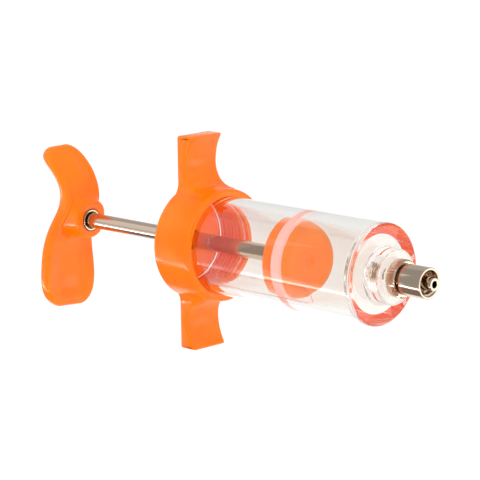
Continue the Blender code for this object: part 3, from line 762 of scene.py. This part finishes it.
def makeNozzle(size):
    coneRoot = size["tipRadius"] + size["taper"] * (size["tip"] - size["coneRear"])
    chamfered = size["flange"] - size["chamfer"]
    pattern = size["toothPattern"]
    around = size["teeth"] * len(pattern)
    bm = spinProfile([
        (size["tip"], size["bore"], size["tipEdge"]),
        (size["tip"], size["tipRadius"], size["tipRound"]),
        (size["coneRear"], coneRoot, size["coneRound"]), (size["coneRear"], size["stub"], 0),
        (size["flangeFront"], size["stub"], size["stubFillet"]),
        (size["flangeFront"], chamfered, 0),
        (size["flangeFront"] - size["chamfer"], size["flange"], 0),
        (size["flangeRear"] + size["chamfer"], size["flange"], 0),
        (size["flangeRear"], chamfered, 0),
        (size["flangeRear"], size["shankRoot"], size["shankFillet"]),
        (size["shankRear"], size["shankRoot"], size["shankRound"]),
        (size["shankRear"], size["bore"], size["boreEdge"])], steps=around)
    valley = 1 - size["toothDepth"] / size["flange"]
    rim = [v for v in bm.verts if v.co.yz.length > (chamfered - size["toothBase"]) * mm]
    for vert in rim:
        turn = round(math.atan2(vert.co.z, vert.co.y) / (2 * math.pi) * around)
        if pattern[turn % len(pattern)]:
            vert.co.y *= valley
            vert.co.z *= valley
    section = ridgeSection(size["shankRoot"] - size["ridgeSunk"], size["ridgeFoot"],
                           size["shankCrest"], size["ridgeCrest"])
    return joinSolid(newObject("nozzle", bm),
                     spinScrew(section, size["shankRear"] + size["shankLead"],
                               size["shankPitch"], size["shankTurns"], size["ridgeSteps"]))


def makeCollar(size):
    collar = newObject("collar", spinProfile([
        (size["front"], size["radius"], size["frontRound"]),
        (size["rear"], size["radius"], size["rearRound"]), (size["rear"], size["stub"], 0),
        (size["floor"], size["stub"], 0), (size["floor"], size["bore"], size["floorFillet"]),
        (size["front"], size["bore"], size["mouthEdge"])], steps=size["steps"]))
    section = ridgeSection(size["bore"] + size["ridgeSunk"], size["ridgeFoot"],
                           size["lockCrest"], size["ridgeCrest"])
    for half in (0, 1):
        ridge = spinScrew(section, size["front"] - size["lockDepth"], size["lockPitch"],
                          size["lockTurns"], size["ridgeSteps"])
        bmesh.ops.rotate(ridge, verts=ridge.verts, cent=place(0),
                         matrix=Matrix.Rotation(math.pi * half + size["lockTurn"], 3, "X"))
        joinSolid(collar, ridge)
    return collar


def makeGasket(size, barrel, nozzle):
    rear, front = barrel["seat"], nozzle["flangeRear"]
    inner = barrel["shankHole"] + size["holeGap"]
    outer = barrel["seatRadius"] - size["rimGap"]
    return newObject("gasket", spinProfile([
        (rear, inner, size["holeEdge"]), (rear, outer, size["rimRound"]),
        (front, outer, size["rimRound"]),
        (front, inner, size["holeEdge"])], steps=size["steps"]))


finishPiece(makeNozzle(nozzleSizes), "nozzle_body", platedBrass)
finishPiece(makeCollar(collarSizes), "lock_collar", platedBrass)
finishPiece(makeGasket(gasketSizes, barrelSizes, nozzleSizes), "nozzle_gasket", milkySilicone)
print("pieces ready", len(finishedPieces))

# Camera where the photograph was taken from: degrees, and mm for all that is a length
cameraSizes = {
    "azimuth": 44.855, "elevation": 11.60, "roll": -0.818, "distance": 698.1, "lens": 175.746,
    "sensor": 36.0, "left": 42.61, "up": 10.41, "near": 10.0, "far": 100000.0,
}


def placeCamera(size):
    turn, rise, roll = (math.radians(size[key]) for key in ("azimuth", "elevation", "roll"))
    back = Vector((math.sin(turn) * math.cos(rise), -math.cos(turn) * math.cos(rise),
                   math.sin(rise)))
    level = Vector((math.cos(turn), math.sin(turn), 0.0))
    upright = back.cross(level)
    right = math.cos(roll) * level + math.sin(roll) * upright
    up = -math.sin(roll) * level + math.cos(roll) * upright
    camera = bpy.data.cameras.new("photoCamera")
    camera.lens = size["lens"]
    camera.sensor_width = size["sensor"]
    camera.sensor_fit = "HORIZONTAL"
    camera.clip_start = size["near"] * mm
    camera.clip_end = size["far"] * mm
    holder = bpy.data.objects.new("photoCamera", camera)
    bpy.context.scene.collection.objects.link(holder)
    spot = place(0) + (back * size["distance"] - right * size["left"] + up * size["up"]) * mm
    turned = Matrix((right, up, back)).transposed().to_4x4()
    holder.matrix_world = Matrix.Translation(spot) @ turned
    bpy.context.scene.camera = holder


placeCamera(cameraSizes)

# Studio in metres: white room light, pale floor far below, a soft key and a front fill, and
# cards along the syringe. A card is its name, the angles it spans below the near side, its
# reach and its colour. Only reflections see the cards; rays that pass through the clear
# plastic see the shades too
studio = {
    "world": 0.95, "worldLow": 0.92, "worldHigh": 1.04,
    "floor": -0.45, "floorSize": 60.0, "floorColour": "#F3F3F3", "floorRough": 0.8,
    "floorGlow": 0.14,
    "lampSize": (1.2, 1.0),
    "lamps": (("keyLight", (-0.6, -1.2, 1.0), 6.0), ("frontFill", (1.3, -0.5, 0.35), 7.0)),
    "cardLength": 2.0, "cardMiddle": -0.5,
    "cards": (("lowDarkCard", 44.0, 104.0, 0.35, "#95817C"),
              ("highGreyCard", -170.0, -80.0, 0.6, "#C4C4C4"),
              ("horizonGreyCard", -10.0, 9.0, 0.62, "#D4D4D4")),
    "shades": ((-50.0, 36.0, 0.5), (-100.0, -50.0, 0.5)), "shadeColour": "#AAAAAA",
    "shadeFrom": -0.465, "shadeTo": 0.5,
    "strip": (35.0, 44.0, 0.48), "stripPeak": 16.0,
    # Brightness of the strip from its front end (0) to its rear end (1)
    "stripAlong": ((0.0, 1.0), (1.0, 0.5), (0.489, 1.0), (0.4915, 0.13), (0.515, 0.13),
                   (0.517, 0.0), (0.5265, 0.0), (0.528, 0.15), (0.5375, 0.2), (0.54, 0.45)),
    "sheen": 2.2, "sheenWay": (0.69, 0.69, -0.2), "sheenReach": 0.6, "sheenSize": 0.14,
}


def makeGlow(name, colour, strength=1.0):
    material, tree = newMaterial(name)
    glow = addNode(tree, "ShaderNodeEmission",
                   {"Color": linear(colour), "Strength": strength})
    addNode(tree, "ShaderNodeOutputMaterial", {}, {"Surface": glow.outputs["Emission"]})
    return material


def makeFlat(name, centre, facing, width, height, material):
    bm = bmesh.new()
    bm.loops.layers.uv.new("card")
    bmesh.ops.create_grid(bm, x_segments=1, y_segments=1, size=0.5, calc_uvs=True)
    bmesh.ops.scale(bm, verts=bm.verts, vec=(width, height, 1.0))
    turned = Matrix.Translation(centre) @ facing.to_4x4()
    bmesh.ops.transform(bm, verts=bm.verts, matrix=turned)
    flat = newObject(name, bm)
    flat.data.materials.append(material)
    return flat


def glossOnly(flat):
    flat.visible_camera = False
    flat.visible_diffuse = False
    flat.visible_transmission = False
    flat.visible_shadow = False
    flat.visible_volume_scatter = False
    return flat


def makeCard(size, name, low, high, reach, material):
    middle = math.radians((low + high) / 2)
    tall = 2 * reach * math.tan(math.radians((high - low) / 2))
    toward = Vector((0.0, -math.cos(middle), -math.sin(middle)))
    centre = Vector((size["cardMiddle"], 0.0, 0.0)) + toward * reach
    along = Vector((1, 0, 0))
    facing = Matrix((along, toward.cross(along), toward)).transposed()
    return glossOnly(makeFlat(name, centre, facing, size["cardLength"], tall, material))


def makeStrip(size):
    material, tree = newMaterial("stripLight")
    where = addNode(tree, "ShaderNodeTexCoord").outputs["UV"]
    split = addNode(tree, "ShaderNodeSeparateXYZ", {}, {"Vector": where})
    across = addNode(tree, "ShaderNodeValToRGB", {}, {"Fac": split.outputs["Y"]})
    across.color_ramp.interpolation = "EASE"
    for end in across.color_ramp.elements:
        end.color = (0, 0, 0, 1)
    across.color_ramp.elements.new(0.5).color = (1, 1, 1, 1)
    along = addNode(tree, "ShaderNodeValToRGB", {}, {"Fac": split.outputs["X"]})
    stops = along.color_ramp.elements
    for i, (position, bright) in enumerate(size["stripAlong"]):
        stop = stops[i] if i < 2 else stops.new(position)
        stop.position = position
        stop.color = (bright, bright, bright, 1)
    share = addNode(tree, "ShaderNodeMath", {},
                    {0: across.outputs["Color"], 1: along.outputs["Color"]},
                    operation="MULTIPLY")
    level = addNode(tree, "ShaderNodeMath", {1: size["stripPeak"], 2: size["world"]},
                    {0: share.outputs["Value"]}, operation="MULTIPLY_ADD")
    glow = addNode(tree, "ShaderNodeEmission", {}, {"Strength": level.outputs["Value"]})
    addNode(tree, "ShaderNodeOutputMaterial", {}, {"Surface": glow.outputs["Emission"]})
    return material


def makeWorld(size):
    world = bpy.data.worlds.new("whiteStudio")
    world.use_nodes = True
    sky = world.node_tree
    where = addNode(sky, "ShaderNodeTexCoord").outputs["Generated"]
    split = addNode(sky, "ShaderNodeSeparateXYZ", {}, {"Vector": where})
    fade = addNode(sky, "ShaderNodeMapRange",
                   {"From Min": -1.0, "From Max": 1.0,
                    "To Min": size["world"] * size["worldLow"],
                    "To Max": size["world"] * size["worldHigh"]},
                   {"Value": split.outputs["Z"]})
    background = sky.nodes["Background"].inputs
    background["Color"].default_value = linear("#FFFFFF")
    sky.links.new(fade.outputs["Result"], background["Strength"])
    bpy.context.scene.world = world


def makeFloor(size):
    material, tree = newMaterial("matWhiteFloor")
    shader = addNode(tree, "ShaderNodeBsdfPrincipled",
                     {"Base Color": linear(size["floorColour"]),
                      "Roughness": size["floorRough"], "Emission Color": linear("#FFFFFF"),
                      "Emission Strength": size["floorGlow"]})
    addNode(tree, "ShaderNodeOutputMaterial", {}, {"Surface": shader.outputs["BSDF"]})
    makeFlat("floor", Vector((0, 0, size["floor"])), Matrix.Identity(3), size["floorSize"],
             size["floorSize"], material)


def makeLamp(name, spot, energy, size):
    light = bpy.data.lights.new(name, "AREA")
    light.shape = "RECTANGLE"
    light.size, light.size_y = size
    light.energy = energy
    lamp = bpy.data.objects.new(name, light)
    bpy.context.scene.collection.objects.link(lamp)
    spot = Vector(spot)
    aimed = spot.to_track_quat("Z", "Y").to_matrix().to_4x4()
    lamp.matrix_world = Matrix.Translation(spot) @ aimed
    lamp.visible_glossy = False


def makeStudio(size):
    makeWorld(size)
    makeFloor(size)
    for name, low, high, reach, colour in size["cards"]:
        makeCard(size, name, low, high, reach, makeGlow(name, colour))
    makeCard(size, "stripReflection", *size["strip"], makeStrip(size))
    dim = makeGlow("roomShade", size["shadeColour"])
    for low, high, reach in size["shades"]:
        shade = makeCard(size, "roomShade", low, high, reach, dim)
        shade.visible_transmission = True
        for vert in shade.data.vertices:
            vert.co.x = min(max(vert.co.x, size["shadeFrom"]), size["shadeTo"])
    away = Vector(size["sheenWay"]).normalized()
    glossOnly(makeFlat("frontSheen", place(0) + size["sheenReach"] * away,
                       (-away).to_track_quat("Z", "Y").to_matrix(), size["sheenSize"],
                       size["sheenSize"], makeGlow("frontSheen", "#FFFFFF", size["sheen"])))
    for name, spot, energy in size["lamps"]:
        makeLamp(name, spot, energy, size["lampSize"])


makeStudio(studio)
# Many bounces, so that the clear barrel has no black places from any side
bounces = {
    "max_bounces": 64, "diffuse_bounces": 12, "glossy_bounces": 48,
    "transmission_bounces": 32, "transparent_max_bounces": 24,
}
scene = bpy.context.scene
scene.view_settings.view_transform = "Standard"
scene.view_settings.look = "None"
for name, count in bounces.items():
    setattr(scene.cycles, name, count)
scene.cycles.caustics_refractive = False
print("studio ready")
